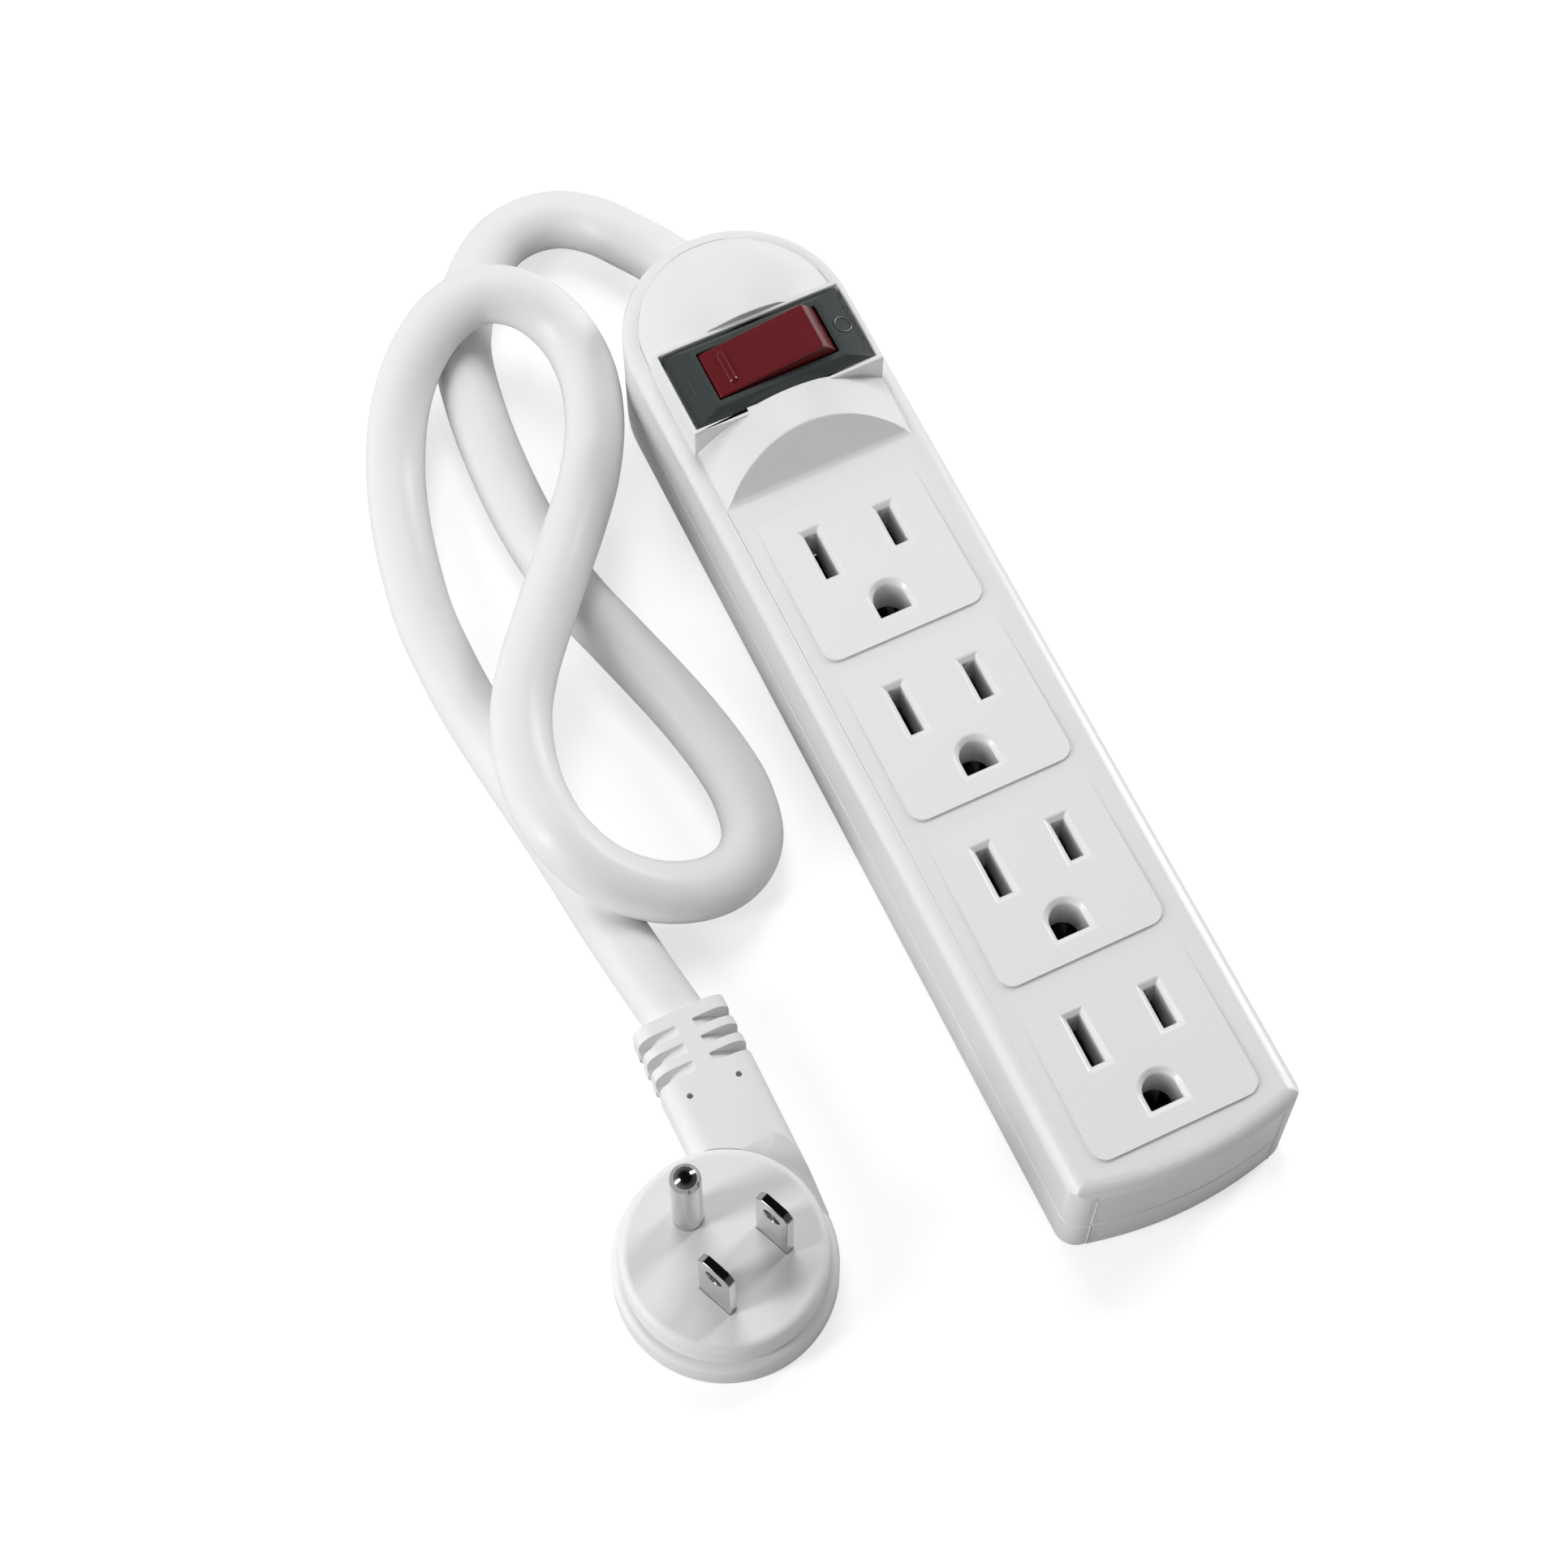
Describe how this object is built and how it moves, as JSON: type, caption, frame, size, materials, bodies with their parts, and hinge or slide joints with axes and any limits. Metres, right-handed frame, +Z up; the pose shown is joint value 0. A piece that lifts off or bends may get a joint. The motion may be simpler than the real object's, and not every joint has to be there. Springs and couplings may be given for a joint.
{
  "type": "power strip",
  "caption": "Power strip: earthed outlets in a row, hooded round end with a rocker breaker switch, thick looped cord and a flat round plug with its pins up.",
  "frame": {"origin": "centre of the housing's flat underside", "axes": "+Y along the strip towards the switch and cord end, +Z up out of the outlets, +X to the right when the earth holes point to the viewer"},
  "size_m": [0.105, 0.2108, 0.0354],
  "materials": {
    "white_plastic": "smooth moulded, semi-gloss",
    "dark_plastic": "polished, near black",
    "red_plastic": "see-through dark red, polished",
    "white_vinyl": "soft glossy vinyl",
    "black_vinyl": "soft vinyl insulation",
    "green_vinyl": "soft vinyl insulation",
    "steel": "zinc plated",
    "bright_metal": "nickel plated, polished",
    "brass": "stamped strip"
  },
  "bodies": {
    "housing": {"top_cover": "white_plastic", "bottom_cover": "white_plastic", "housing_screws": "steel", "switch_case": "dark_plastic", "rocker_pin": "steel", "line_terminal": "brass", "load_terminal": "brass", "live_bus": "brass", "neutral_bus": "brass", "earth_bus": "brass", "live_wire": "black_vinyl", "switched_wire": "black_vinyl", "neutral_wire": "white_vinyl", "earth_wire": "green_vinyl", "cord_bushing": "white_vinyl", "cord": "white_vinyl", "plug_body": "white_vinyl", "plug_face": "white_vinyl", "live_blade": "bright_metal", "neutral_blade": "bright_metal", "earth_pin": "bright_metal"},
    "rocker": {"rocker": "red_plastic", "rocker_plunger": "steel", "rocker_spring": "steel"},
    "contact_arm": {"contact_arm": "brass"}
  },
  "joints": [
    {"name": "rocker_hinge", "type": "hinge", "parent": "housing", "child": "rocker", "pos_m": [0, 0.0596, 0.0268], "axis": [0, 1, 0], "range_deg": [0, 17.4]},
    {"name": "contact_hinge", "type": "hinge", "parent": "housing", "child": "contact_arm", "pos_m": [0, 0.0596, 0.0162], "axis": [0, 1, 0], "range_deg": [-17.4, 0]}
  ],
  "couplings": [
    {"joint": "contact_hinge", "follows": "rocker_hinge", "ratio": -1}
  ]
}
